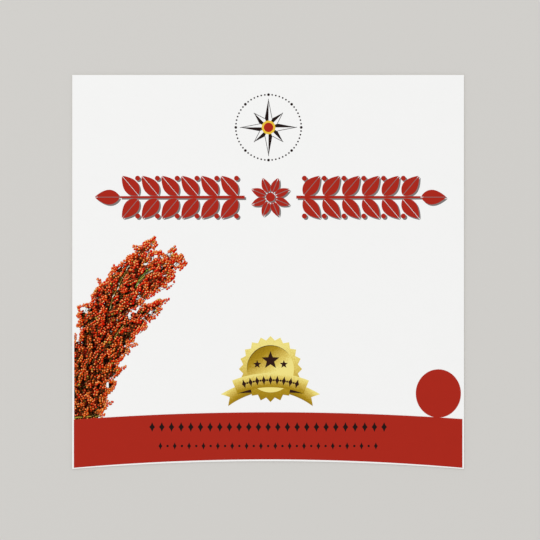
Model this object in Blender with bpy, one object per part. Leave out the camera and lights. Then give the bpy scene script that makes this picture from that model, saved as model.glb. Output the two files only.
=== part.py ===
"""A square self-adhesive product label with an arched lower edge, lying face up.

It is built as real label stock is: a printed paper face sheet, the film of adhesive on
its back, and the release liner that covers the adhesive until the label is used. All
three are die-cut together to one outline. Units are metres, +Z is up out of the printed
face, +Y runs to the label's head, and the origin is at the centre of the outline's box,
on the surface that the label lies on.
"""

import math

import bpy

MM = 0.001

# Outline of the label, as it is cut
LABEL_WIDTH = 100.0 * MM
LABEL_HEIGHT = 100.6 * MM  # from the lower corners to the head
ARCH_RISE = 2.0 * MM  # how far the middle of the lower edge stands above its corners
ARCH_STEPS = 24  # straight cuts that make up the arched edge

# The three layers, from the surface up. Each stays clear of the next by LAYER_GAP.
LINER_THICK = 0.15 * MM
ADHESIVE_THICK = 0.04 * MM
FACE_THICK = 0.17 * MM
LAYER_GAP = 0.02 * MM

# The adhesive stops just inside the cut edges, so that the label's sides aren't tacky
ADHESIVE_SETBACK = 0.4 * MM


def clear_scene():
    """Remove every object of the scene that the file opens with."""
    for obj in list(bpy.data.objects):
        bpy.data.objects.remove(obj)


def make_material(name, colour, roughness):
    """A matt or glossy paper-like surface with no metal in it."""
    material = bpy.data.materials.new(name)
    material.use_nodes = True
    shader = material.node_tree.nodes["Principled BSDF"]
    shader.inputs["Base Color"].default_value = (*colour, 1.0)
    shader.inputs["Roughness"].default_value = roughness
    shader.inputs["Metallic"].default_value = 0.0
    return material


def arch_points(left, right, corner_y, radius, steps):
    """Points of the arched edge from left to right: an arc of a circle that bulges to the head."""
    half = (right - left) / 2
    middle = (right + left) / 2
    centre_y = corner_y - math.sqrt(radius**2 - half**2)
    sweep = math.asin(half / radius)
    points = []
    for step in range(steps + 1):
        angle = -sweep + 2 * sweep * step / steps
        points.append((middle + radius * math.sin(angle), centre_y + radius * math.cos(angle)))
    return points


def label_outline(setback):
    """The cut outline, drawn in by setback on every side, counter-clockwise from lower left."""
    half_chord = LABEL_WIDTH / 2
    radius = (half_chord**2 + ARCH_RISE**2) / (2 * ARCH_RISE)
    head_y = LABEL_HEIGHT / 2 - setback
    left, right = -half_chord + setback, half_chord - setback

    # The inner arc keeps the outer arc's centre, and where it meets the drawn-in sides
    # it starts a little higher than the outer corner.
    centre_y = -LABEL_HEIGHT / 2 - math.sqrt(radius**2 - half_chord**2)
    inner_radius = radius + setback
    corner_y = centre_y + math.sqrt(inner_radius**2 - right**2)

    lower_edge = arch_points(left, right, corner_y, inner_radius, ARCH_STEPS)
    return lower_edge + [(right, head_y), (left, head_y)]


def make_sheet(name, outline, bottom, thick, material, collection):
    """A flat sheet of the outline: a filled 2D curve, extruded by half its thickness each way."""
    curve = bpy.data.curves.new(name, "CURVE")
    curve.dimensions = "2D"
    curve.fill_mode = "BOTH"
    curve.extrude = thick / 2
    spline = curve.splines.new("POLY")
    spline.points.add(len(outline) - 1)
    for point, (x, y) in zip(spline.points, outline):
        point.co = (x, y, 0.0, 1.0)
    spline.use_cyclic_u = True
    curve.materials.append(material)
    sheet = bpy.data.objects.new(name, curve)
    sheet.location = (0.0, 0.0, bottom + thick / 2)
    collection.objects.link(sheet)
    return sheet


def make_label():
    """The three layers in their order, from the surface that the label lies on."""
    collection = bpy.data.collections.new("product_label")
    bpy.context.scene.collection.children.link(collection)

    liner_paper = make_material("liner_paper", (0.83, 0.80, 0.72), 0.35)
    adhesive_gum = make_material("adhesive_gum", (0.78, 0.74, 0.60), 0.25)
    face_paper = make_material("face_paper", (0.90, 0.90, 0.89), 0.55)

    adhesive_bottom = LINER_THICK + LAYER_GAP
    face_bottom = adhesive_bottom + ADHESIVE_THICK + LAYER_GAP
    full = label_outline(0.0)
    gummed = label_outline(ADHESIVE_SETBACK)
    make_sheet("release_liner", full, 0.0, LINER_THICK, liner_paper, collection)
    make_sheet("adhesive_film", gummed, adhesive_bottom, ADHESIVE_THICK, adhesive_gum, collection)
    make_sheet("face_sheet", full, face_bottom, FACE_THICK, face_paper, collection)


clear_scene()
make_label()
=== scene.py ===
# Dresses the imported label: paper, printed inks, the seed head picture, floor, light and camera
import random
from math import atan2, copysign, cos, exp, pi, radians, sin, sqrt

import bpy
from mathutils import Matrix, Vector, kdtree, noise as field


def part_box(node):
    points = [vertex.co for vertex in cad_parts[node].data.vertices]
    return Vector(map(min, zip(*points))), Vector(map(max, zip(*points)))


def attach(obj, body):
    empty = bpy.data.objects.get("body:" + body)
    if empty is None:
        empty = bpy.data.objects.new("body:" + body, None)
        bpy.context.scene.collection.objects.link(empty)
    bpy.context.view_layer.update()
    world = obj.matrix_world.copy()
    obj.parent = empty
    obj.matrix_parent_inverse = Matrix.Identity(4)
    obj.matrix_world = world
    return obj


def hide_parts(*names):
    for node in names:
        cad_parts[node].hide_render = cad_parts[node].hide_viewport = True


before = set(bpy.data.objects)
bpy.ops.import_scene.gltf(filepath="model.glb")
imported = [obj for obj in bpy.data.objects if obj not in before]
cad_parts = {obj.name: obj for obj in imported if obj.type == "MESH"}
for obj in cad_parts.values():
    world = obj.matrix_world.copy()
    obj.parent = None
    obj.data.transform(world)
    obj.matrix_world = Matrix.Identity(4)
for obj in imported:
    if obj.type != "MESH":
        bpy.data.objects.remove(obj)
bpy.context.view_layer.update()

mm = 0.001
faceLow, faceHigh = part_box("face_sheet")
halfWidth = (faceHigh.x - faceLow.x) / 2


# Levels. Each ink is a thin slab that starts just inside the paper and stands up to its own
# level. The sheet gives up a little of its thickness to them.

inkRoom = 0.04 * mm
inkRoot = 0.004 * mm  # how far an ink sinks into the paper
paperTop = faceHigh.z - inkRoom
microns = {  # heights above the paper
    "paper": 0, "titleShadow": 4, "rays": 6, "crest": 8, "crestRing": 10, "title": 10,
    "tails": 10, "crestHeart": 12, "redDisc": 12, "sealDisc": 12, "sealRim": 14, "folds": 16,
    "ribbon": 20, "sealMarks": 24, "picture": 33, "band": 36, "bandMarks": 39,
}
levels = {name: height * 0.001 * mm for name, height in microns.items()}
# slabs that end elsewhere: the sheet's own, the crest's ring, and marks in the band's ink
roots = {"paper": paperTop - faceLow.z, "crestRing": 0.002 * mm, "bandMarks": -0.035 * mm}


# Helpers

def srgb(red, green, blue):
    # screen values from 0 to 255, as linear light
    shares = [value / 255 for value in (red, green, blue)]
    return tuple(s / 12.92 if s <= 0.04045 else ((s + 0.055) / 1.055) ** 2.4 for s in shares)


def between(pair, share):
    return pair[0] + (pair[1] - pair[0]) * share


def mixed(first, second, share):
    return tuple(between(pair, share) for pair in zip(first, second))


def clamped(value):
    return max(0.0, min(1.0, value))


def deselectAll():
    bpy.ops.object.select_all(action="DESELECT")


def selectOnly(*pieces):
    # the first of them becomes the active one
    deselectAll()
    for piece in reversed(pieces):
        piece.select_set(True)
        bpy.context.view_layer.objects.active = piece


def slab(name, level, place):
    # puts each point (x, y) of the shape that was just added at place(x, y), on the given
    # level, and extrudes the shape downwards
    piece = bpy.context.object
    piece.name = name
    for vertex in piece.data.vertices:
        vertex.co = (*place(vertex.co.x, vertex.co.y), paperTop + levels[level])
    depth = levels[level] + roots.get(level, inkRoot)
    selectOnly(piece)
    bpy.ops.object.mode_set(mode="EDIT")
    bpy.ops.mesh.select_all(action="SELECT")
    bpy.ops.mesh.extrude_region_move(TRANSFORM_OT_translate={"value": (0, 0, -depth)})
    bpy.ops.mesh.select_all(action="SELECT")
    bpy.ops.mesh.normals_make_consistent(inside=False)
    bpy.ops.object.mode_set(mode="OBJECT")
    return piece


def shapedGrid(name, columns, rows, level, place):
    # a slab from a grid whose point (u, v), each from 0 to 1, is put at place(u, v)
    deselectAll()
    bpy.ops.mesh.primitive_grid_add(x_subdivisions=columns, y_subdivisions=rows, size=1)
    return slab(name, level, lambda x, y: place(x + 0.5, y + 0.5))


def shapedDisc(name, sides, level, place):
    # a slab from a filled circle whose point at each angle, from the head, is put at place(angle)
    deselectAll()
    bpy.ops.mesh.primitive_circle_add(vertices=sides, radius=1, fill_type="NGON")
    return slab(name, level, lambda x, y: place(atan2(x, y) % (2 * pi)))


def onCircle(radius, angle):
    return radius * cos(angle), radius * sin(angle)


def ellipse(centre, halves):
    return lambda a: (centre[0] + halves[0] * cos(a), centre[1] + halves[1] * sin(a))


def roundDot(name, radius, level, sides=20):
    return shapedDisc(name, sides, level, lambda angle: onCircle(radius, angle))


def lozenge(name, halves, level):
    # four pointed corners with sides drawn in a little
    def place(angle):
        pinch = 1 - 0.16 * abs(sin(2 * angle))
        x, y = onCircle(1, angle)
        reach = pinch / (abs(x) + abs(y))
        return x * reach * halves[0], y * reach * halves[1]

    return shapedDisc(name, 16, level, place)


def star(name, centre, halves, points, waist, level):
    def place(angle):
        size = waist if round(angle / (pi / points)) % 2 else 1.0
        x = centre[0] + halves[0] * size * sin(angle)
        return x, centre[1] + halves[1] * size * cos(angle)

    return shapedDisc(name, 2 * points, level, place)


def copyOf(source, move=(0, 0), turn=0.0, stretch=(1, 1)):
    # a copy with its own mesh, stretched, then turned, then moved in the label's plane
    twin = source.copy()
    twin.data = source.data.copy()
    bpy.context.collection.objects.link(twin)
    shape = Matrix.Diagonal((*stretch, 1, 1))
    twin.data.transform(Matrix.Translation((*move, 0)) @ Matrix.Rotation(turn, 4, "Z") @ shape)
    return twin


def discard(patterns):
    for pattern in patterns:
        bpy.data.objects.remove(pattern)


def joined(name, parts):
    selectOnly(*parts)
    bpy.ops.object.join()
    parts[0].name = name
    return parts[0]


def settle(piece, material):
    # the last step for every printed piece
    piece.data.materials.clear()
    piece.data.materials.append(material)
    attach(piece, "root")


def archLift(x, halfChord, rise):
    # how far a circle's arch stands above its ends, at x from its middle
    radius = (halfChord**2 + rise**2) / (2 * rise)
    return sqrt(radius**2 - x**2) - (radius - rise)


# Nodes

def feed(tree, node, inputs):
    # an input takes another node's output, or else a value of its own
    for key, value in inputs.items():
        socket = node.inputs[key]
        if isinstance(value, bpy.types.NodeSocket):
            tree.links.new(value, socket)
        elif socket.type == "RGBA":
            socket.default_value = (*value, 1)
        else:
            socket.default_value = value


def addNode(tree, kind, inputs=(), **settings):
    node = tree.nodes.new(kind)
    for setting, value in settings.items():
        setattr(node, setting, value)
    feed(tree, node, dict(inputs))
    return node


def calc(tree, operation, first, second=0.0):
    return addNode(tree, "ShaderNodeMath", {0: first, 1: second}, operation=operation).outputs[0]


def measured(tree, operation, first, second):
    # a number from two vectors
    node = addNode(tree, "ShaderNodeVectorMath", {0: first, 1: second}, operation=operation)
    return node.outputs["Value"]


def remap(tree, value, fromLow, fromHigh, toLow, toHigh, kind="LINEAR"):
    inputs = {"Value": value, 1: fromLow, 2: fromHigh, 3: toLow, 4: toHigh}
    return addNode(tree, "ShaderNodeMapRange", inputs, interpolation_type=kind).outputs["Result"]


def noise(tree, coords, size, detail=2.0, stretch=(1, 1, 1), turn=0.0):
    # noise whose spots are about size across, on the label's own coordinates
    laid = {"Vector": coords, "Rotation": (0, 0, turn), "Scale": stretch}
    spots = addNode(tree, "ShaderNodeMapping", laid).outputs["Vector"]
    inputs = {"Vector": spots, "Scale": 1 / size, "Detail": detail}
    return addNode(tree, "ShaderNodeTexNoise", inputs).outputs["Fac"]


def swing(tree, coords, size, detail):
    # noise that goes as far below zero as above
    return calc(tree, "SUBTRACT", noise(tree, coords, size, detail), 0.5)


def tinted(tree, colour, tone):
    # a colour made lighter and darker by a tone near 1
    mix = addNode(tree, "ShaderNodeMix", {"Factor": 1.0, "A": colour, "B": tone},
                  data_type="RGBA", blend_type="MULTIPLY")
    return mix.outputs["Result"]


def bumped(tree, height, strength, depth):
    inputs = {"Strength": strength, "Distance": depth, "Height": height}
    return addNode(tree, "ShaderNodeBump", inputs).outputs["Normal"]


# Effects that several materials share

def newGroup(name, inputs, outputs):
    group = bpy.data.node_groups.new(name, "ShaderNodeTree")
    for side, sockets in (("INPUT", inputs), ("OUTPUT", outputs)):
        for socket in sockets:
            kind = "NodeSocketColor" if socket == "Color" else "NodeSocketFloat"
            group.interface.new_socket(socket, in_out=side, socket_type=kind)
    given = group.nodes.new("NodeGroupInput").outputs
    coords = group.nodes.new("ShaderNodeTexCoord").outputs["Object"]
    return group, given, group.nodes.new("NodeGroupOutput"), coords


def makeFibreGroup():
    # pressed paper fibres: long fine streaks that cross, over a broad soft clouding
    group, given, result, coords = newGroup("paperFibre", ["Fibre", "Cloud"], ["Tone", "Height"])
    streaks = []
    for turn in (0.5, 1.9, 3.0):
        streaks.append(noise(group, coords, 0.16 * mm, 3.0, (0.22, 1.6, 1), turn))
    crossed = calc(group, "ADD", calc(group, "ADD", streaks[0], streaks[1]), streaks[2])
    fibres = calc(group, "SUBTRACT", calc(group, "DIVIDE", crossed, 3.0), 0.5)
    cloud = calc(group, "MULTIPLY", swing(group, coords, 7 * mm, 3.0), given["Cloud"])
    tone = calc(group, "ADD", calc(group, "MULTIPLY", fibres, given["Fibre"]), cloud)
    feed(group, result, {"Tone": calc(group, "ADD", tone, 1.0), "Height": fibres})
    return group


def makeInkGroup():
    # ink on paper: it lies a little thick and thin, and takes up the fibres below
    group, given, result, coords = newGroup("inkLay", ["Mottle"], ["Tone", "Gloss", "Height"])
    fine = swing(group, coords, 0.22 * mm, 2.0)
    lay = calc(group, "ADD", fine, calc(group, "MULTIPLY", swing(group, coords, 3.5 * mm, 2.0), 0.6))
    tone = calc(group, "ADD", calc(group, "MULTIPLY", lay, given["Mottle"]), 1.0)
    gloss = remap(group, lay, -0.5, 0.5, 0.42, 0.6)
    feed(group, result, {"Tone": tone, "Gloss": gloss, "Height": fine})
    return group


def makeGoldGroup():
    # printed gold: a ramp from olive shade to pale yellow, with the fine speckle of the print
    group, given, result, coords = newGroup("goldRamp", ["Shine", "Speckle"], ["Color"])
    speck = calc(group, "MULTIPLY", swing(group, coords, 0.3 * mm, 1.0), given["Speckle"])
    ramp = addNode(group, "ShaderNodeValToRGB", {"Fac": calc(group, "ADD", given["Shine"], speck)})
    stops = [(0.0, srgb(152, 119, 14)), (0.28, srgb(175, 141, 26)), (0.55, srgb(205, 175, 76)),
             (0.78, srgb(225, 201, 100)), (1.0, srgb(243, 228, 136))]
    while len(ramp.color_ramp.elements) < len(stops):
        ramp.color_ramp.elements.new(0.5)
    for element, (place, colour) in zip(ramp.color_ramp.elements, stops):
        element.position = place
        element.color = (*colour, 1)
    feed(group, result, {"Color": ramp.outputs["Color"]})
    return group


fibreGroup = makeFibreGroup()
inkGroup = makeInkGroup()
goldGroup = makeGoldGroup()


# Materials

def newMaterial(name):
    material = bpy.data.materials.new(name)
    material.use_nodes = True
    tree = material.node_tree
    return material, tree, tree.nodes["Principled BSDF"]


def placeGroup(tree, group, **inputs):
    return addNode(tree, "ShaderNodeGroup", inputs, node_tree=group).outputs


def paperMaterial(name, look):
    material, tree, shader = newMaterial(name)
    fibre = placeGroup(tree, fibreGroup, Fibre=look["fibre"], Cloud=look["cloud"])
    feed(tree, shader, {
        "Base Color": tinted(tree, look["colour"], fibre["Tone"]),
        "Roughness": remap(tree, fibre["Height"], -0.25, 0.25, look["smooth"], look["rough"]),
        "Specular IOR Level": look["sheen"],
        "Normal": bumped(tree, fibre["Height"], look["bump"], 0.02 * mm),
    })
    return material


def inkMaterial(name, colour, mottle=0.08, sheen=0.08, relief=0.15):
    # the colour is plain, or else a function that builds its nodes around the ink's tone
    material, tree, shader = newMaterial(name)
    lay = placeGroup(tree, inkGroup, Mottle=mottle)
    body = colour(tree, lay["Tone"]) if callable(colour) else tinted(tree, colour, lay["Tone"])
    surface = {"Base Color": body, "Roughness": lay["Gloss"], "Specular IOR Level": sheen}
    if relief:
        surface["Normal"] = bumped(tree, lay["Height"], relief, 0.01 * mm)
    feed(tree, shader, surface)
    return material


papers = {
    "face": {"colour": srgb(247, 247, 246), "fibre": 0.035, "cloud": 0.012,
             "smooth": 0.5, "rough": 0.68, "sheen": 0.25, "bump": 0.35},
    "liner": {"colour": srgb(233, 229, 216), "fibre": 0.05, "cloud": 0.03,
              "smooth": 0.28, "rough": 0.4, "sheen": 0.5, "bump": 0.2},
    "gum": {"colour": srgb(226, 220, 198), "fibre": 0.02, "cloud": 0.08,
            "smooth": 0.18, "rough": 0.3, "sheen": 0.6, "bump": 0.6},
}
facePaper = paperMaterial("facePaper", papers["face"])
redInk = inkMaterial("redInk", srgb(171, 37, 22))
greyInk = inkMaterial("greyShadowInk", srgb(126, 121, 119))
blackInk = inkMaterial("blackInk", srgb(30, 14, 12), 0.2)
brownInk = inkMaterial("brownInk", srgb(46, 20, 12), 0.2)
yellowInk = inkMaterial("yellowInk", srgb(236, 196, 60))
print("materials made")


# Paper and the layers under it

paper = {
    "archRise": 2.0 * mm,  # the lower edge's middle above its corners
    "columns": 48,
    "rows": 8,
    "edgeRound": 0.02 * mm,
}


def cutEdge(x):
    # the arched lower edge of the label
    return faceLow.y + archLift(x, halfWidth, paper["archRise"])


def makeFaceSheet():
    def place(u, v):
        x = (2 * u - 1) * halfWidth
        return x, cutEdge(x) + (faceHigh.y - cutEdge(x)) * v

    sheet = shapedGrid("faceSheet", paper["columns"], paper["rows"], "paper", place)
    bevel = sheet.modifiers.new("cutEdge", "BEVEL")
    bevel.width = paper["edgeRound"]
    bevel.segments = 2
    bevel.limit_method = "ANGLE"
    bevel.angle_limit = radians(60)
    selectOnly(sheet)
    bpy.ops.object.modifier_apply(modifier=bevel.name)
    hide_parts("face_sheet")
    settle(sheet, facePaper)


def dressLayers():
    for node, look in (("release_liner", "liner"), ("adhesive_film", "gum")):
        material = paperMaterial(look + "Surface", papers[look])
        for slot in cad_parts[node].material_slots:
            slot.material = material


makeFaceSheet()
dressLayers()
print("paper sheet and its layers made")


# Red band along the arched edge, and the red disc that stands on it

band = {
    "margin": 0.42 * mm,  # bare paper at the sides
    "footMargin": 0.28 * mm,  # and at the lower corners
    "footExtra": 0.18 * mm,  # how much more there is of it at the middle of the foot
    "topMiddle": -35.82 * mm,
    "topRise": 1.80 * mm,
    "crown": 1.1 * mm,  # where the top stands highest, a little right of the middle
    "columns": 64,
}
redDisc = {"centre": (43.45 * mm, -31.01 * mm), "halves": (5.76 * mm, 6.16 * mm)}
bandMarks = [  # two rows of lozenges, with dots between them in the second
    {"name": "upperMarks", "y": -39.57 * mm, "reach": 29.6 * mm, "count": 25,
     "lozenge": (0.72 * mm, 1.25 * mm), "dot": None},
    {"name": "lowerMarks", "y": -44.42 * mm, "reach": 27.5 * mm, "count": 31,
     "lozenge": (0.50 * mm, 0.95 * mm), "dot": 0.30 * mm},
]


def bandTop(x):
    half = halfWidth - band["margin"]
    return band["topMiddle"] - band["topRise"] + archLift(x - band["crown"], half, band["topRise"])


def makeBand():
    half = halfWidth - band["margin"]

    def place(u, v):
        x = (2 * u - 1) * half
        foot = cutEdge(x) + band["footMargin"] + archLift(x, half, band["footExtra"])
        return x, foot + (bandTop(x) - foot) * v

    settle(shapedGrid("redBand", band["columns"], 4, "band", place), redInk)
    outline = ellipse(redDisc["centre"], redDisc["halves"])
    settle(shapedDisc("redDisc", 96, "redDisc", outline), redInk)


def makeBandMarks(row):
    patterns = [lozenge("markPattern", row["lozenge"], "bandMarks")]
    if row["dot"]:
        patterns.append(roundDot("dotPattern", row["dot"], "bandMarks"))
    marks = []
    for i in range(row["count"]):
        x = row["reach"] * (2 * i / (row["count"] - 1) - 1)
        marks.append(copyOf(patterns[i % len(patterns)], (x, row["y"])))
    discard(patterns)
    settle(joined(row["name"], marks), blackInk)


makeBand()
for row in bandMarks:
    makeBandMarks(row)
print("red band, disc and marks printed")


# Leaf garland in the title's place, with its grey drop shadow

garland = {
    "centre": (0.6 * mm, 19.1 * mm),
    "reach": 44.8 * mm,  # from the middle to each tip
    "stemStart": 6.6 * mm,
    "stemHalf": 0.38 * mm,
    "stemTaper": 0.35,
    "gap": 0.16 * mm,  # bare paper between the stem and what grows from it
    "leaf": (6.3 * mm, 1.82 * mm),  # length and half width
    "leafAngle": radians(50),
    "leafEvery": 5.05 * mm,
    "leafShift": 0.1,  # part of that spacing by which all pairs stand nearer the tip
    "leafSwell": (0.8, 0.85),  # below 1 it is widest nearer its root, and its sides are fuller
    "veinGap": 0.14 * mm,
    "berry": 0.64 * mm,
    "berryPlace": (0.12 * mm, 4.82 * mm),  # from a leaf's root, and from the stem's middle
    "petals": 8,
    "petal": (3.95 * mm, 0.98 * mm),
    "heart": 1.15 * mm,
    "shadowShift": (0.38 * mm, -0.38 * mm),
}


def makeLeaf(name, length, half):
    # a pointed leaf along +X, in two halves with the vein left bare between them
    def place(angle):
        along = (1 - cos(angle)) / 2
        lean, roundness = garland["leafSwell"]
        swell = sin(pi * along**lean) ** roundness
        vein = garland["veinGap"] / 2
        return along * length, vein + half * swell if sin(angle) > 1e-6 else vein

    upper = shapedDisc(name, 32, "title", place)
    lower = copyOf(upper, stretch=(1, -1))
    lower.data.flip_normals()
    return joined(name, [upper, lower])


def garlandSide(side, leaf, berry):
    # leaf pairs and berries along one stem, which ends in a single leaf
    parts = []
    facing = 0.0 if side == 1 else pi
    start, end = garland["stemStart"], garland["reach"] - garland["leaf"][0] - garland["gap"]
    berryX, berryY = garland["berryPlace"]
    pairs = int((end - start) / garland["leafEvery"])
    for i in range(pairs):
        x = end - (pairs - garland["leafShift"] - i) * garland["leafEvery"]
        for lift in (1, -1):
            root = (side * x, lift * (garland["stemHalf"] + garland["gap"]))
            parts.append(copyOf(leaf, root, facing + side * lift * garland["leafAngle"]))
            parts.append(copyOf(berry, (side * (x + berryX), lift * berryY)))
    parts.append(copyOf(leaf, (side * (end + garland["gap"]), 0), facing))

    def stemPlace(u, v):
        half = garland["stemHalf"] * (1 - garland["stemTaper"] * u)
        return side * (start + u * (end - start)), side * (2 * v - 1) * half

    return parts + [shapedGrid("stem", 8, 1, "title", stemPlace)]


def makeGarland():
    leaf = makeLeaf("leafPattern", *garland["leaf"])
    petal = makeLeaf("petalPattern", *garland["petal"])
    berry = roundDot("berryPattern", garland["berry"], "title")
    heart = roundDot("heartPattern", garland["heart"], "title", 40)
    parts = garlandSide(1, leaf, berry) + garlandSide(-1, leaf, berry)
    for i in range(garland["petals"]):
        angle = 2 * pi * (i + 0.5) / garland["petals"]
        parts.append(copyOf(petal, onCircle(garland["heart"] + garland["gap"], angle), angle))
    parts.append(copyOf(heart))
    discard([leaf, petal, berry, heart])
    red = joined("titleGarland", parts)
    red.data.transform(Matrix.Translation((*garland["centre"], 0)))
    shadow = copyOf(red, garland["shadowShift"])
    shadow.name = "titleShadow"
    shadow.data.transform(Matrix.Translation((0, 0, levels["titleShadow"] - levels["title"])))
    settle(red, redInk)
    settle(shadow, greyInk)


makeGarland()
print("garland printed")


# Crest at the head: an eight-pointed compass star in black with a ring of dots

crest = {
    "centre": (0.1 * mm, 36.9 * mm),
    "longPoint": 7.3 * mm,
    "shortPoint": 5.3 * mm,
    "waist": 2.5 * mm,  # where two points meet, from the centre
    "line": 0.14 * mm,
    "dotRing": 8.35 * mm,
    "dots": 56,
    "dot": 0.22 * mm,
    "bigDots": {"every": 7, "size": 1.6},
    "heart": 1.2 * mm,
    "heartRing": 1.75 * mm,
}
waistX, waistY = onCircle(crest["waist"], pi / 8)


def starFacet(length):
    # the dark half of one point: a sliver from the centre to the tip, then the waist
    corners = [(0.0, 0.0), (length, 0.0), (waistX, waistY)]
    return shapedDisc("facet", 3, "crest", lambda a: corners[round(a / (2 * pi / 3)) % 3])


def starLine(length):
    # the thin line round the light half
    waist, tip = Vector((waistX, -waistY)), Vector((length, 0))
    along = (tip - waist).normalized()
    across = Vector((-along.y, along.x)) * crest["line"]
    return shapedGrid("line", 2, 1, "crest", lambda u, v: waist.lerp(tip, u) + across * v)


def makeCrest():
    parts = []
    for i in range(8):
        length = crest["shortPoint"] if i % 2 else crest["longPoint"]
        for part in (starFacet(length), starLine(length)):
            part.data.transform(Matrix.Rotation(pi * i / 4, 4, "Z"))
            parts.append(part)
    dot = roundDot("dotPattern", crest["dot"], "crest", 12)
    for i in range(crest["dots"]):
        size = 1.0 if i % crest["bigDots"]["every"] else crest["bigDots"]["size"]
        spot = onCircle(crest["dotRing"], 2 * pi * i / crest["dots"])
        parts.append(copyOf(dot, spot, stretch=(size, size)))
    discard([dot])
    black = joined("crestStar", parts)
    ring = roundDot("crestRing", crest["heartRing"], "crestRing", 48)
    heart = roundDot("crestHeart", crest["heart"], "crestHeart", 40)
    for piece, ink in ((black, blackInk), (ring, yellowInk), (heart, redInk)):
        piece.data.transform(Matrix.Translation((*crest["centre"], 0)))
        settle(piece, ink)


makeCrest()
print("crest printed")


# Gold seal with its arched ribbon

seal = {
    "centre": (0.61 * mm, -24.77 * mm),
    "rays": 20,
    "rayHalves": (8.07 * mm, 8.43 * mm),  # half width and half height at the tips
    "valley": 0.875,
    "discHalf": 5.98 * mm,
    "rimFrom": radians(-98),
    "rimSweep": radians(150),
    "rimLine": 0.14 * mm,
    "rimFade": 0.6,
    "rimIn": 0.3,  # share of the line's width that lies on the disc
    "ribbonCentre": (0.61 * mm, -51.5 * mm),  # of the arcs that ribbon and tails follow
    "ribbonArcs": (22.08 * mm, 25.72 * mm),
    "ribbonHalfAngle": radians(22.4),
    "tailArcs": (20.35 * mm, 23.9 * mm),
    "tailLift": 0.5 * mm,  # how far the tails' inner ends are drawn in
    "tailFrom": radians(13.1),
    "tailTo": radians(32),
    "tailNotch": radians(4.0),
    "foldOver": 0.1 * mm,  # how far a fold goes under the ribbon
    "foldDrop": 0.85 * mm,
}
sealMarks = {
    "stars": [  # place from the seal's centre, and reach
        ((0.0, 2.2 * mm), 2.4 * mm), ((-3.4 * mm, 1.2 * mm), 1.1 * mm), ((3.4 * mm, 1.2 * mm), 1.1 * mm),
    ],
    "starWaist": 0.42,
    "lozenge": (0.58 * mm, 1.2 * mm),
    "dot": 0.26 * mm,
    "each": 8,  # on each side of the ribbon's middle
    "every": radians(2.05),
}

# How light each gold is, as a sum of slopes. A slope has its way through the seal's centre, or
# None for outwards from the ribbon's centre, then its start and end, and the light at both.
slopes = {
    "goldRays": [((0, 1), 0.0, 6 * mm, 0.74, 1.0), ((0, 1), -7.5 * mm, 0.0, -0.644, 0.0)],
    "goldDisc": [((0.56, -0.83), -5.7 * mm, 1.5 * mm, 0.0, 1.05)],
    "goldTail": [((1, 0), 6.2 * mm, 12.6 * mm, 0.0, 0.44), ((-1, 0), 6.2 * mm, 12.6 * mm, 0.0, 0.44),
                 (None, *seal["tailArcs"], -0.18, 0.67)],
    "goldRibbon": [(None, *seal["ribbonArcs"], 0.14, 1.05)],
}


def goldMaterial(name):
    def colour(tree, tone):
        coords = addNode(tree, "ShaderNodeTexCoord").outputs["Object"]
        shine, outwards = 0.0, (*seal["ribbonCentre"], paperTop + levels["ribbon"])
        for way, start, end, low, high in slopes[name]:
            middle = sum(a * b for a, b in zip(way, seal["centre"])) if way else 0.0
            kind, second = ("DOT_PRODUCT", (*way, 0)) if way else ("DISTANCE", outwards)
            reach = measured(tree, kind, coords, second)
            slope = remap(tree, reach, middle + start, middle + end, low, high)
            shine = calc(tree, "ADD", slope, shine)
        gold = placeGroup(tree, goldGroup, Shine=shine, Speckle=0.5)
        return tinted(tree, gold["Color"], tone)

    return inkMaterial(name, colour, 0.05, 0.06)


def onArc(radius, angle, centre=seal["ribbonCentre"]):
    # the angle is measured from the head, positive to the right
    return centre[0] + radius * sin(angle), centre[1] + radius * cos(angle)


def makeSealDisc():
    rays = star("sealRays", seal["centre"], seal["rayHalves"], seal["rays"], seal["valley"], "rays")
    settle(rays, goldMaterial("goldRays"))
    half = seal["discHalf"]
    disc = shapedDisc("sealDisc", 96, "sealDisc", ellipse(seal["centre"], (half, half)))
    settle(disc, goldMaterial("goldDisc"))

    # the dark line that fades out down both sides of the disc
    def rimPlace(u, v):
        reach = half + seal["rimLine"] * sin(pi * u) ** seal["rimFade"] * (v - seal["rimIn"])
        return onArc(reach, seal["rimFrom"] + seal["rimSweep"] * u, seal["centre"])

    settle(shapedGrid("sealRim", 48, 1, "sealRim", rimPlace), brownInk)


def arcPiece(name, arcs, fromAngle, toAngle, level, notch=0.0, lift=0.0):
    # a strip between two arcs; notch cuts its far end to a swallow tail
    def place(u, v):
        reach = toAngle - fromAngle - copysign(notch, toAngle) * (1 - abs(2 * v - 1)) * (u > 0)
        return onArc(between(arcs, v) + lift * (1 - u) * (1 - v), fromAngle + reach * u)

    return shapedGrid(name, 24, 8, level, place)


def makeRibbon():
    goldTail, half = goldMaterial("goldTail"), seal["ribbonHalfAngle"]
    for side, name in ((-1, "left"), (1, "right")):
        start, end = side * seal["tailFrom"], side * seal["tailTo"]
        tail = arcPiece(name + "Tail", seal["tailArcs"], start, end, "tails",
                        seal["tailNotch"], seal["tailLift"])
        settle(tail, goldTail)

        def foldPlace(u, v, side=side, start=start):
            # a dark wedge under the ribbon's end, deepest at its inner side
            drop = seal["foldDrop"] * (1 - u) * (1 - v)
            radius = seal["ribbonArcs"][0] + seal["foldOver"] * v - drop
            return onArc(radius, between((start, side * half), u))

        settle(shapedGrid(name + "Fold", 8, 2, "folds", foldPlace), brownInk)
    ribbon = arcPiece("sealRibbon", seal["ribbonArcs"], -half, half, "ribbon")
    settle(ribbon, goldMaterial("goldRibbon"))


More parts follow.
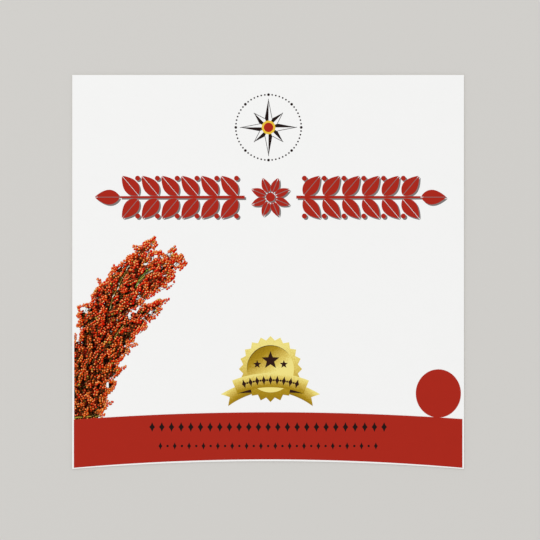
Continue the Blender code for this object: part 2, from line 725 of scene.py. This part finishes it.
def makeSealMarks():
    parts = []
    for (x, y), reach in sealMarks["stars"]:
        spot = (seal["centre"][0] + x, seal["centre"][1] + y)
        parts.append(star("star", spot, (reach, reach), 5, sealMarks["starWaist"], "sealMarks"))
    patterns = [lozenge("markPattern", sealMarks["lozenge"], "sealMarks"),
                roundDot("dotPattern", sealMarks["dot"], "sealMarks", 14)]
    for i in range(-sealMarks["each"], sealMarks["each"] + 1):
        angle = sealMarks["every"] * i
        parts.append(copyOf(patterns[i % 2], onArc(sum(seal["ribbonArcs"]) / 2, angle), -angle))
    discard(patterns)
    settle(joined("sealMarks", parts), brownInk)


makeSealDisc()
makeRibbon()
makeSealMarks()
print("gold seal printed")


# Seed head picture. Its outline, the gaps where paper shows through and a few clear stems are
# given as lists. Bunches of grain grow inside in layers along the head's bent middle line, in
# millimetres, with their height towards the reader. All of it is then pressed flat into the
# inks' thickness and cut off at the picture's left edge.

head = {
    "seed": 41,
    "cutX": -49.5,  # the picture's left edge
    "cutRoom": (0.3, 1.2),  # how far past that edge, and under the band, things still grow
    "spine": [(-48.8, -41.0), (-47.0, -30.5), (-44.4, -20.8), (-40.7, -12.4), (-36.0, -6.2),
              (-31.2, -0.8), (-27.0, 3.9), (-23.8, 7.6)],
    "halfWidths": [7.0, 8.0, 8.2, 8.6, 8.4, 7.8, 6.8, 6.0],
    "edge": [  # the mass of the head from the cut edge clockwise round to below the band
        (-52.0, -18.0), (-48.2, -17.2), (-48.0, -14.7), (-49.0, -13.7), (-48.2, -12.3), (-49.0, -11.0),
        (-48.3, -10.1), (-48.9, -8.8), (-46.4, -7.8), (-45.1, -7.5), (-45.2, -6.0), (-44.2, -3.8),
        (-41.4, -2.3), (-41.1, -0.7), (-39.6, 1.2), (-37.7, 2.4), (-36.3, 4.0), (-34.7, 4.9),
        (-33.4, 5.2), (-34.5, 6.6), (-31.9, 7.0), (-31.8, 7.8), (-30.2, 8.3), (-29.2, 9.1),
        (-28.5, 7.8), (-28.0, 6.6), (-29.0, 5.2), (-27.2, 5.7), (-26.3, 4.5), (-25.5, 5.4),
        (-23.6, 6.8), (-23.2, 4.5), (-21.8, 4.5), (-20.6, 2.3), (-21.6, 0.6), (-23.6, 0.2),
        (-24.0, -2.0), (-25.5, -3.0), (-27.1, -4.5), (-28.3, -5.5), (-30.2, -6.7), (-32.3, -8.3),
        (-29.9, -8.0), (-27.2, -6.5), (-26.9, -9.2), (-27.7, -10.7), (-29.4, -12.5), (-31.5, -14.4),
        (-34.0, -16.3), (-33.9, -17.4), (-35.6, -19.1), (-34.8, -20.6), (-36.3, -21.4), (-38.3, -23.7),
        (-37.2, -25.2), (-39.5, -27.5), (-38.5, -28.2), (-39.6, -30.6), (-41.0, -31.6), (-40.7, -32.8),
        (-41.3, -35.0), (-42.2, -35.8), (-42.1, -41.0), (-52.0, -41.0),
    ],
    "edgeIn": 0.12,  # how far inside the edge the grains' middles stay
    "coreIn": 1.1,  # and how far those that lie lower than lowHeight
    "lowHeight": 0.6,
    "layers": [  # from the inside out: spacing of bunches, height, share of the half width
        {"every": (1.5, 1.3), "height": -3.4, "fill": 0.95, "length": (1.1, 2.0)},
        {"every": (1.8, 1.6), "height": -1.7, "fill": 1.0, "length": (1.1, 2.2)},
        {"every": (2.1, 1.8), "height": 0.0, "fill": 1.0, "length": (1.0, 2.2)},
        {"every": (2.5, 2.2), "height": 1.5, "fill": 1.0, "length": (0.9, 2.2)},
    ],
    "dome": 4.2,  # how much higher the middle stands than the edges
    "heightShake": 0.9,
    "jitter": 0.5,
    "fan": 24.0,  # degrees that a bunch at the edge leans outwards
    "stray": 42.0,  # and how far a bunch may point off its way
    "fringe": {  # short bunches that stand outwards all along the edge
        "every": 0.8, "length": (0.7, 1.5), "turn": (-130, -50), "height": (1.6, 3.6),
    },
    "footY": -41,  # where the ranks of the fringe start, and how far up they run
    "rankSpan": 45,
    "sprays": [  # small twigs that stand out of the mass: root and tip
        (-42.6, -3.6, -43.4, -1.7), (-39.4, 0.4, -39.6, 1.6), (-33.6, 5.3, -34.3, 6.7),
        (-29.7, 7.9, -29.1, 9.1), (-49.4, -17.4, -49.2, -15.8), (-26.2, -4.1, -23.6, -2.9),
        (-26.8, -7.8, -25.4, -6.8), (-31.9, -14.9, -30.8, -13.9), (-35.1, -19.0, -33.6, -18.0),
        (-38.3, -25.0, -36.2, -24.3), (-41.3, -34.1, -39.7, -33.0), (-42.8, -36.8, -41.7, -36.5),
    ],
    "sprayHeights": (3.0, 3.4),
    "sprayRanks": (-12, 0.3, 0.8),  # the rank below this y, and above it
    "holes": [  # where the paper shows through: two ends and half the width
        (-47.5, -9.3, -46.3, -9.6, 0.36), (-31.7, 2.0, -30.7, 2.2, 0.22),
        (-29.4, 3.6, -28.4, 4.1, 0.24), (-30.6, 5.3, -29.6, 5.8, 0.08),
        (-28.9, 5.6, -28.6, 6.0, 0.1), (-29.9, 6.9, -29.7, 7.0, 0.04),
        (-33.5, 6.2, -33.3, 6.3, 0.08), (-31.2, 3.9, -30.9, 4.0, 0.06),
        (-27.3, 3.9, -27.1, 4.0, 0.06), (-25.8, 4.3, -25.5, 4.4, 0.08),
        (-24.8, 4.5, -24.5, 4.9, 0.1), (-26.2, 2.0, -26.0, 2.2, 0.08),
        (-23.6, 2.2, -23.0, 1.9, 0.14), (-21.9, 2.6, -21.6, 2.8, 0.12),
        (-23.1, 0.8, -22.4, 1.0, 0.05), (-26.7, -1.0, -26.5, -1.0, 0.14),
        (-25.3, -3.2, -24.4, -2.8, 0.2), (-26.9, -3.4, -26.7, -3.4, 0.06),
        (-27.7, -4.2, -27.5, -4.2, 0.06), (-33.4, -6.9, -33.0, -6.9, 0.18),
        (-34.0, -10.1, -33.8, -10.1, 0.34), (-33.4, -9.4, -32.6, -8.8, 0.22),
        (-35.4, -11.7, -35.2, -10.6, 0.22), (-30.3, -10.5, -29.4, -9.8, 0.12),
        (-32.1, -12.0, -31.9, -12.0, 0.12), (-30.8, -12.8, -30.6, -12.8, 0.1),
        (-41.0, -28.9, -41.0, -28.2, 0.2),
    ],
    "holeRoom": {"stem": 0.1, "grain": 0.2, "shade": 0.85},
    "clearStems": [  # stems seen along dark gaps: tone, half widths at both ends, path
        (1.9, (0.14, 0.15), [(-33.8, -3.9), (-33.0, -2.2), (-32.0, -0.9), (-30.8, 0.5)]),
        (1.2, (0.17, 0.15), [(-32.9, -2.3), (-32.2, -1.6), (-31.5, -1.0)]),
        (3.0, (0.06, 0.06), [(-33.4, -3.4), (-32.6, -2.5), (-31.9, -1.8)]),
        (3.0, (0.11, 0.14), [(-31.2, -0.6), (-30.4, -0.1), (-29.5, 0.3)]),
        (0.8, (0.08, 0.06), [(-40.4, -9.6), (-39.5, -6.0), (-38.3, -4.2), (-37.5, -2.2), (-36.1, 0.5)]),
        (3.0, (0.11, 0.12), [(-36.2, 0.4), (-35.9, 1.1), (-35.4, 1.6)]),
        (3.0, (0.13, 0.12), [(-38.5, -4.6), (-38.3, -4.2), (-38.1, -3.8)]),
        (3.0, (0.14, 0.12), [(-39.7, -6.5), (-39.5, -6.1), (-39.2, -5.8)]),
        (2.4, (0.1, 0.08), [(-40.4, -9.5), (-40.2, -9.0), (-40.1, -8.6)]),
        (0.9, (0.1, 0.09), [(-39.3, -16.9), (-38.0, -15.0), (-36.9, -13.6)]),
        (1.1, (0.22, 0.14), [(-49.4, -37.3), (-48.6, -37.1), (-47.5, -37.1)]),
        (0.9, (0.2, 0.14), [(-46.5, -37.1), (-45.9, -36.9), (-45.1, -36.9)]),
        (1.2, (0.16, 0.1), [(-44.1, -37.0), (-43.5, -36.8), (-42.9, -36.8)]),
    ],
    "clearHeight": 2.4,
    "clearRoom": 0.4,  # kept free of grains beside a clear stem
}
bunch = {
    "growth": (0.86, 1.03),  # sizes at the foot and at the tip of the head
    "grainEvery": 0.3,
    "ring": 0.345,  # how far a grain stands from its twig
    "sprayRing": 0.28,
    "ringEnds": (1.15, 0.8),  # how that changes from the twig's foot to its tip
    "ringShake": (0.75, 1.25),
    "bend": 45.0,  # degrees that a bunch may curve in all
    "curls": 0.45,  # share of the bunches at the tip that are single curled strings
    "curlBend": (100, 190),
    "curlRing": 0.3,
    "swell": 0.5,  # how much higher the twig's middle stands
    "heightShake": (-0.3, 0.4),
    "shake": 0.09,
    "lean": 0.8,  # how far a grain points away from its twig
    "size": (0.82, 1.18),
    "tint": (-0.1, 1.1),  # from red to orange
    "tone": (-0.34, 0.34),  # what the tints of a bunch have in common
    "glint": (1.08, 1.8),  # the most at the head's foot and at its tip
    "husks": 0.1,  # share of the grains that still show their long pale husk
    "unripe": 0.02,
    "stemBack": Vector((1.2, 0, -0.8)),  # how far back and down its stem comes from
    "stemHalf": (0.08, 0.05),
    "stemShare": 0.8,  # how far along the bunch its stem goes
}


def smoothPath(points, height, stepsPerSpan):
    # a curve through all the points, at one height
    points = [Vector((*point, height)) for point in points]
    ends = [2 * points[0] - points[1], *points, 2 * points[-1] - points[-2]]
    path = []
    for i in range(1, len(ends) - 2):
        a, b, c, d = ends[i - 1 : i + 3]
        for step in range(stepsPerSpan):
            t = step / stepsPerSpan
            bend = (2 * a - 5 * b + 4 * c - d) * t + (3 * b - a - 3 * c + d) * t * t
            path.append(b + 0.5 * t * (c - a + bend))
    return path + [points[-1]]


def walk(path, spacing):
    # points, headings and shares of the way, evenly spaced along a path
    spots, travelled, due = [], 0.0, 0.0
    total = sum((b - a).length for a, b in zip(path, path[1:]))
    for a, b in zip(path, path[1:]):
        span = (b - a).length
        while due <= travelled + span and span > 0:
            spots.append((a.lerp(b, (due - travelled) / span), (b - a).normalized(), due / total))
            due += spacing
        travelled += span
    return spots


def swung(heading, degrees):
    # a flat heading turned to the right
    turned = heading.copy()
    turned.rotate(Matrix.Rotation(-radians(degrees), 3, "Z"))
    return turned


def fromLine(spot, *ends):
    # how far a place in the picture is from the line between two ends
    a, b = (Vector(end) for end in ends)
    share = clamped((spot.xy - a).dot(b - a) / (b - a).length_squared)
    return (spot.xy - a.lerp(b, share)).length


def inHole(spot, kind):
    room = head["holeRoom"][kind]
    return any(fromLine(spot, hole[:2], hole[2:4]) < hole[4] + room for hole in head["holes"])


def byClearStem(spot):
    for _, _, path in head["clearStems"]:
        if any(fromLine(spot, *ends) < head["clearRoom"] for ends in zip(path, path[1:])):
            return True
    return False


def onPicture(spot):
    left, low = head["cutRoom"]
    return spot.x > head["cutX"] - left and spot.y > bandTop(spot.x * mm) / mm - low


def drawnIn(by):
    # the head's edge moved inwards
    corners = [Vector(corner) for corner in head["edge"]]
    moved = []
    for i, corner in enumerate(corners):
        ahead = corners[(i + 1) % len(corners)] - corners[i - 1]
        moved.append(corner + Vector((ahead.y, -ahead.x)).normalized() * by)
    return moved


def inside(spot, corners):
    # whether a line to the right crosses the closed line an odd number of times
    odd = False
    for a, b in zip(corners, corners[1:] + corners[:1]):
        if (a.y > spot.y) != (b.y > spot.y):
            if spot.x < a.x + (b.x - a.x) * (spot.y - a.y) / (b.y - a.y):
                odd = not odd
    return odd


spine = smoothPath(head["spine"], 0, 10)


def spread(chance, layer, jitter):
    # places over the head's width, evenly spread and then shaken about
    along, aside = layer["every"]
    spans = len(head["halfWidths"]) - 1
    for spot, heading, rank in walk(spine, along):
        first = min(int(rank * spans), spans - 1)
        half = between(head["halfWidths"][first : first + 2], rank * spans - first) * layer["fill"]
        right = Vector((heading.y, -heading.x, 0))
        count = max(1, round(2 * half / aside))
        shift = chance.uniform(-0.5, 0.5)
        for k in range(count):
            share = 2 * (k + 0.5 + 0.5 * shift) / count - 1
            share = share + chance.uniform(-1, 1) * jitter * aside / half
            if abs(share) <= 1:
                place = spot + right * share * half
                yield place + heading * chance.uniform(-1, 1) * jitter * along, heading, share, rank


def growBunch(chance, grown, foot, heading, length, ring, rank):
    # grains in turn on both sides of a short curved twig, and one at its tip
    growth = between(bunch["growth"], rank)
    tone = chance.uniform(*bunch["tone"])
    count = max(3, round(length / bunch["grainEvery"] / growth))
    turn = chance.uniform(-1, 1) * bunch["bend"]
    if chance.random() < bunch["curls"] * rank**3:
        turn, ring = copysign(chance.uniform(*bunch["curlBend"]), turn), ring * bunch["curlRing"]
    spot, way = foot.copy(), heading.copy()
    for k in range(count + 1):
        share, across = k / count, Vector((-way.y, way.x, 0))
        side = 0 if k == count else 1 - 2 * (k % 2)
        aside = side * ring * growth * between(bunch["ringEnds"], share)
        aside = aside * chance.uniform(*bunch["ringShake"])
        lift = bunch["swell"] * sin(pi * share) + chance.uniform(*bunch["heightShake"])
        shaken = [chance.uniform(-1, 1) * bunch["shake"] for _ in range(2)]
        kind = chance.random()
        grown["grains"].append({
            "at": spot + across * aside + Vector((*shaken, lift)),
            "way": (way + across * side * bunch["lean"]).normalized(),
            "size": chance.uniform(*bunch["size"]) * growth,
            "rank": rank,
            "tint": clamped(chance.uniform(*bunch["tint"]) + tone),
            "husk": kind < bunch["husks"],
            "unripe": kind > 1 - bunch["unripe"],
            "glint": clamped(chance.random() * between(bunch["glint"], rank**4)),
        })
        spot = spot + way * length / count
        way = swung(way, turn / count)
    back = foot - heading * bunch["stemBack"].x + Vector((0, 0, bunch["stemBack"].z))
    grown["stems"].append({
        "path": [back, foot, foot + heading * length * bunch["stemShare"]],
        "half": bunch["stemHalf"],
        "tone": 2 * chance.random() ** 4,
        "clear": False,
    })


def growLayer(chance, grown, layer):
    for foot, heading, share, rank in spread(chance, layer, head["jitter"]):
        foot.z = head["dome"] * sqrt(1 - share * share) + layer["height"]
        foot.z = foot.z + chance.uniform(-head["heightShake"], head["heightShake"])
        stray = chance.uniform(-1, 1) * head["stray"]
        way = swung(heading, head["fan"] * share + stray)
        length = chance.uniform(*layer["length"])
        growBunch(chance, grown, foot - way * length / 2, way, length, bunch["ring"], rank)


def growFringe(chance, grown, corners):
    fringe = head["fringe"]
    for spot, heading, _ in walk([Vector((*corner, 0)) for corner in corners], fringe["every"]):
        length = chance.uniform(*fringe["length"])
        way = swung(heading, chance.uniform(*fringe["turn"]))
        foot = spot - way * length
        foot.z = chance.uniform(*fringe["height"])
        rank = clamped((foot.y - head["footY"]) / head["rankSpan"])
        growBunch(chance, grown, foot, way, length, bunch["sprayRing"], rank)


def growSprays(chance, grown):
    lowY, lowRank, highRank = head["sprayRanks"]
    low, high = head["sprayHeights"]
    for spray in head["sprays"]:
        root, tip = Vector((*spray[:2], low)), Vector((*spray[2:], high))
        rank, way = highRank if tip.y > lowY else lowRank, tip - root
        growBunch(chance, grown, root, way.normalized(), way.length, bunch["sprayRing"], rank)


def growHead():
    chance = random.Random(head["seed"])
    grown = {"stems": [], "grains": []}
    corners, core = drawnIn(head["edgeIn"]), drawnIn(head["coreIn"])
    for layer in head["layers"]:
        growLayer(chance, grown, layer)
    growFringe(chance, grown, corners)

    def stays(spot):
        return (inside(spot, core if spot.z < head["lowHeight"] else corners)
                and (spot.z < 0 or not byClearStem(spot)))

    grown["grains"] = [g for g in grown["grains"] if stays(g["at"])]
    grown["stems"] = [s for s in grown["stems"] if all(inside(p, corners) for p in s["path"])]
    growSprays(chance, grown)
    stems = [s for s in grown["stems"] if not any(inHole(p, "stem") for p in s["path"])]
    for tone, half, path in head["clearStems"]:
        path = smoothPath(path, head["clearHeight"], 5)
        stems.append({"path": path, "half": half, "tone": tone, "clear": True})
    grains = [g for g in grown["grains"] if not inHole(g["at"], "grain") and onPicture(g["at"])]
    return stems, grains


# How the picture's grains, stems and dark inside are lit and coloured

headLight = {
    "from": (-0.28, 0.42, 0.86),
    "reach": 1.4,  # millimetres in which higher grains keep light off
    "strength": 0.64,
    "above": (0.1, 0.9),  # how much higher a grain stands to shade at all, and in full
    "spread": (0.65, 0.35),  # shade that comes from all sides, and more from the light's side
    "covered": (0.27, 3),  # a grain is hidden by more than three that stand this close
    "folds": (1.2, 2.6),  # width and length of the lighter lumps and darker folds of the mass
    "foldWay": (0.86, 0.5),
    "foldSlice": 3.7,
    "foldDepth": 0.9,
    "edgeIn": 0.9,
    "edgeLight": 0.6,  # the least light on the grains that make the outline
}
grainInk = {
    "red": srgb(211, 10, 0),
    "orange": srgb(214, 64, 2),
    "rust": srgb(210, 34, 0),
    "ochre": srgb(213, 100, 6),
    "husk": srgb(230, 140, 54),
    "unripe": srgb(166, 128, 34),
    "shade": srgb(20, 2, 0),
    "redAt": 1.4,  # how early the rust turns red on the way up, and the ochre orange
    "orangeAt": 1.6,
    "warmth": (1.2, 2.6),  # the higher, the fewer pale grains, at the foot and at the tip
    "ends": (0.95, 0.32),  # light added at the tip and at the foot, which stand clearer
    "contrast": (2.0, -0.37),
    "fall": (1.0, 1.5, 1.7),  # what is in shade turns deep red
    "half": (0.365, 0.335),  # along and across
    "huskStretch": (1.3, 0.85),
    "taper": 0.16,
    "height": 0.3,
    "foot": (0.55, 1.0),  # a grain is darker at its foot
    "footEnd": 1.35,
    "glintFall": 1.6,
}
stemInk = {
    "tones": [  # brown, olive, green and pale
        srgb(170, 84, 30), srgb(160, 136, 48), srgb(102, 146, 46), srgb(232, 230, 214),
    ],
    "dark": srgb(26, 6, 1),
    "shown": 0.14,  # how much of its tone a stem in the dark keeps
    "height": 0.1,
    "roundness": 0.85,
    "glint": 0.15,
}
shadeInk = {
    "layer": {"every": (0.85, 0.85), "fill": 1.0},
    "jitter": 0.3,
    "edgeIn": 1.3,  # how far inside the edge it stays
    "size": (0.66, 0.9),
    "tones": (srgb(10, 2, 0), srgb(46, 17, 3)),
    "depth": 0.5,
    "height": 0.2,
}
pictureInk = {
    "floor": 0.002 * mm,  # the lowest ink of the picture
    "room": (1.5, 0.5),  # depth kept free below and above the grains
    "shade": (0.1, 0.52, 0.01, 1.08),
    "glint": (0.86, 0.97, 0.0, 1.0),
    "glintColour": srgb(255, 220, 138),
    "mottle": 0.15,
    "sheen": 0.015,
}


def lightOn(grains):
    # how much light each grain gets past the grains that stand higher beside it
    tree = kdtree.KDTree(len(grains))
    for i, grain in enumerate(grains):
        tree.insert((grain["at"].x, grain["at"].y, 0), i)
    tree.balance()
    towards = Vector(headLight["from"]).xy.normalized()
    reach, core = headLight["reach"], drawnIn(headLight["edgeIn"])
    (least, full), (even, sided) = headLight["above"], headLight["spread"]
    (close, most), (wayX, wayY) = headLight["covered"], headLight["foldWay"]
    for grain in grains:
        at, shade, cover = grain["at"], 0.0, 0
        for spot, i, gap in tree.find_range((at.x, at.y, 0), reach):
            above = grains[i]["at"].z - at.z
            if above < least or gap < 1e-6:
                continue
            facing = (spot.xy - at.xy).dot(towards) / gap
            shade += (1 - gap / reach) * min(1.0, above / full) * (even + sided * facing)
            cover += gap < close
        across = (at.x * wayX - at.y * wayY) / headLight["folds"][0]
        along = (at.x * wayY + at.y * wayX) / headLight["folds"][1]
        fold = headLight["foldDepth"] * field.noise((across, along, headLight["foldSlice"]))
        grain["light"] = exp(-headLight["strength"] * shade) * (1 + fold)
        grain["covered"] = cover > most
        if not inside(at, core):
            grain["light"] = max(grain["light"], headLight["edgeLight"])


def tintOf(grain):
    # redder towards the tip, more rust and ochre at the foot
    rank = grain["rank"]
    warm = mixed(grainInk["rust"], grainInk["red"], min(1.0, rank * grainInk["redAt"]))
    pale = mixed(grainInk["ochre"], grainInk["orange"], min(1.0, rank * grainInk["orangeAt"]))
    body = mixed(warm, pale, grain["tint"] ** between(grainInk["warmth"], rank))
    if grain["husk"]:
        body = mixed(body, grainInk["husk"], 0.5)
    if grain["unripe"]:
        body = grainInk["unripe"]
    ends = grainInk["ends"][0] * rank**4 + grainInk["ends"][1] * (1 - rank) ** 2
    gain, offset = grainInk["contrast"]
    light = clamped(grain["light"] * gain + offset + ends)
    pairs = zip(grainInk["shade"], body)
    return [between(pair, light**power) for pair, power in zip(pairs, grainInk["fall"])], light


# Each of the three makes one shape: its depth, its faces and its points. A point has its place,
# its ball coordinates, which say where it is on the round thing that is pictured, and its colour.

def grainShape(grain, template):
    wayX, wayY = onCircle(1, atan2(grain["way"].y, grain["way"].x))
    middle, flat = grain["at"], grain["way"].xy.length
    long, short = (half * grain["size"] for half in grainInk["half"])
    long = short + (long - short) * flat
    if grain["husk"]:
        long, short = long * grainInk["huskStretch"][0], short * grainInk["huskStretch"][1]
    body, light = tintOf(grain)
    glint, points = light ** grainInk["glintFall"] * grain["glint"], []
    for along, across, up in template["points"]:
        wide = across * short * (1 - grainInk["taper"] * max(0.0, -along))
        x = max(middle.x + along * long * wayX - wide * wayY, head["cutX"])
        y = middle.y + along * long * wayY + wide * wayX
        foot = between(grainInk["foot"], min(1.0, along + grainInk["footEnd"]))
        points.append(((x, y, middle.z + grainInk["height"] * up),
                       ((x - middle.x) / short, (y - middle.y) / short),
                       (*(channel * foot for channel in body), glint)))
    return middle.z, template["faces"], points


def stemShape(stem):
    # a thin four-sided strip along the stem's path
    first = min(int(stem["tone"]), len(stemInk["tones"]) - 2)
    colour = mixed(*stemInk["tones"][first : first + 2], stem["tone"] - first)
    if not stem["clear"]:
        colour = mixed(stemInk["dark"], colour, stemInk["shown"])
    path, points, faces = stem["path"], [], []
    last = len(path) - 1
    for i, spot in enumerate(path):
        ahead = path[min(i + 1, last)] - path[max(i - 1, 0)]
        side = Vector((-ahead.y, ahead.x)).normalized() * between(stem["half"], i / last)
        for share, lift in ((1, 0), (0, 1), (-1, 0), (0, -1)):
            x, y = spot.xy + side * share
            ball = side.normalized() * share * stemInk["roundness"]
            points.append(((x, y, spot.z + lift * stemInk["height"]), ball, (*colour, stemInk["glint"])))
        if i:
            a = 4 * (i - 1)
            faces.extend((a + k, a + (k + 1) % 4, a + 4 + (k + 1) % 4, a + 4 + k) for k in range(4))
    a = 4 * last
    faces.extend([(3, 2, 1, 0), (a, a + 1, a + 2, a + 3)])
    return sum(spot.z for spot in path) / len(path), faces, points


def shadeShape(spot, template, lowest, chance):
    # the dark inside of the head, seen between the grains
    size = chance.uniform(*shadeInk["size"])
    colour = (*mixed(*shadeInk["tones"], chance.random() ** 2), 0.0)
    depth = lowest + chance.random() * shadeInk["depth"]
    points = []
    for along, across, up in template["points"]:
        place = (spot.x + along * size, spot.y + across * size, depth + shadeInk["height"] * up)
        points.append((place, (0.0, 0.0), colour))
    return depth, template["faces"], points


def makePictureMesh(name, shapes, depths, material):
    # the shapes are laid from the lowest to the highest
    low, high = depths
    floor = pictureInk["floor"]
    vertices, faces, balls, colours = [], [], [], []
    for _, corners, points in sorted(shapes, key=lambda shape: shape[0]):
        faces.extend([len(vertices) + corner for corner in face] for face in corners)
        for (x, y, z), ball, colour in points:
            lift = (z - low) / (high - low) * (levels["picture"] - floor)
            vertices.append((max(x, head["cutX"]) * mm, y * mm, paperTop + floor + lift))
            balls.append(ball)
            colours.append(colour)
    mesh = bpy.data.meshes.new(name)
    mesh.from_pydata(vertices, [], faces)
    (left, right), (foot, top) = [(min(side), max(side)) for side in list(zip(*vertices))[:2]]
    flat = [((x - left) / (right - left), (y - foot) / (top - foot)) for x, y, _ in vertices]
    for layer, spots in (("grainBall", balls), ("OFBake", flat)):
        uvMap = mesh.uv_layers.new(name=layer)
        for loop in mesh.loops:
            uvMap.uv[loop.index].vector = spots[loop.vertex_index]
    paint = mesh.color_attributes.new("picture", "FLOAT_COLOR", "POINT")
    for point, colour in zip(paint.data, colours):
        point.color = colour
    piece = bpy.data.objects.new(name, mesh)
    bpy.context.collection.objects.link(piece)
    settle(piece, material)


def grainTemplate():
    # one grain: a ten-sided lens
    deselectAll()
    bpy.ops.mesh.primitive_uv_sphere_add(segments=10, ring_count=2, radius=1)
    lens = bpy.context.object
    template = {"points": [tuple(v.co) for v in lens.data.vertices],
                "faces": [tuple(p.vertices) for p in lens.data.polygons]}
    discard([lens])
    return template


def pictureColour(tree, tone):
    # the picture is shaded in its ink: each grain reads as a ball lit from the upper left
    ball = addNode(tree, "ShaderNodeUVMap", uv_map="grainBall").outputs["UV"]
    paint = addNode(tree, "ShaderNodeAttribute", attribute_name="picture").outputs
    out = calc(tree, "SUBTRACT", 1.0, measured(tree, "DOT_PRODUCT", ball, ball))
    flat = addNode(tree, "ShaderNodeSeparateXYZ", {"Vector": ball}).outputs
    sides = {"X": flat["X"], "Y": flat["Y"], "Z": calc(tree, "SQRT", calc(tree, "MAXIMUM", out, 0.0))}
    normal = addNode(tree, "ShaderNodeCombineXYZ", sides).outputs["Vector"]
    facing = measured(tree, "DOT_PRODUCT", normal, Vector(headLight["from"]).normalized())
    glint = remap(tree, facing, *pictureInk["glint"], "SMOOTHSTEP")
    shaded = tinted(tree, paint["Color"], remap(tree, facing, *pictureInk["shade"]))
    layers = {"Factor": calc(tree, "MULTIPLY", glint, paint["Alpha"]),
              "A": tinted(tree, shaded, tone), "B": pictureInk["glintColour"]}
    return addNode(tree, "ShaderNodeMix", layers, data_type="RGBA").outputs["Result"]


def makeSeedPicture():
    stems, grown = growHead()
    lightOn(grown)
    grains = [grain for grain in grown if not grain["covered"]]
    heights, (below, above) = [grain["at"].z for grain in grains], pictureInk["room"]
    depths = (min(heights) - below, max(heights) + above)
    for stem in stems:
        stem["path"] = [spot for spot in stem["path"] if onPicture(spot)]
    stems = [stem for stem in stems if len(stem["path"]) > 1]
    ink = inkMaterial("pictureInk", pictureColour, pictureInk["mottle"], pictureInk["sheen"], relief=0)
    template, chance = grainTemplate(), random.Random(head["seed"] + 1)
    dark, corners = [], drawnIn(shadeInk["edgeIn"])
    for spot, _, _, _ in spread(chance, shadeInk["layer"], shadeInk["jitter"]):
        if inside(spot, corners) and onPicture(spot) and not inHole(spot, "shade"):
            dark.append(shadeShape(spot, template, depths[0], chance))
    makePictureMesh("pictureShade", dark, depths, ink)
    makePictureMesh("pictureStems", [stemShape(stem) for stem in stems], depths, ink)
    makePictureMesh("pictureGrains", [grainShape(grain, template) for grain in grains], depths, ink)
    print(len(grains), "of", len(grown), "grains,", len(stems), "stems,", len(dark), "shades pictured")


makeSeedPicture()


# Floor, light and camera

studio = {
    "floor": srgb(212, 210, 206),
    "floorDrop": 0.02 * mm,
    "sky": 0.86,
    "keyPower": 2.0,
    "keyPlace": (-0.45, 0.55, 0.95),
    "keySize": 0.7,
    "pictureSide": 137.82 * mm,  # what the square picture takes in at the label
    "aim": (0.48 * mm, 0.50 * mm),  # what stands at the picture's middle
    "lens": 150.0,
}


def makeStudio():
    deselectAll()
    bpy.ops.mesh.primitive_plane_add(size=8, location=(0, 0, -studio["floorDrop"]))
    floor = bpy.context.object
    floor.name = "studioFloor"
    material, tree, shader = newMaterial("studioFloor")
    surface = {"Base Color": studio["floor"], "Roughness": 0.9, "Specular IOR Level": 0.1}
    feed(tree, shader, surface)
    floor.data.materials.append(material)

    world = bpy.data.worlds.new("studio")
    world.use_nodes = True
    sky = world.node_tree.nodes["Background"]
    feed(world.node_tree, sky, {"Color": (1, 1, 1), "Strength": studio["sky"]})
    bpy.context.scene.world = world

    bpy.ops.object.light_add(type="AREA", location=studio["keyPlace"])
    key = bpy.context.object
    key.data.size = studio["keySize"]
    key.data.energy = studio["keyPower"]
    key.rotation_euler = (-Vector(studio["keyPlace"])).to_track_quat("-Z", "Y").to_euler()

    bpy.context.scene.view_settings.view_transform = "Standard"


def makeCamera():
    camera = bpy.data.cameras.new("overheadCamera")
    camera.lens = studio["lens"]
    height = studio["pictureSide"] * studio["lens"] / camera.sensor_width
    holder = bpy.data.objects.new("overheadCamera", camera)
    holder.location = (*studio["aim"], faceHigh.z + height)
    bpy.context.collection.objects.link(holder)
    bpy.context.scene.camera = holder


makeStudio()
makeCamera()
print("studio ready")

bpy.context.view_layer.update()
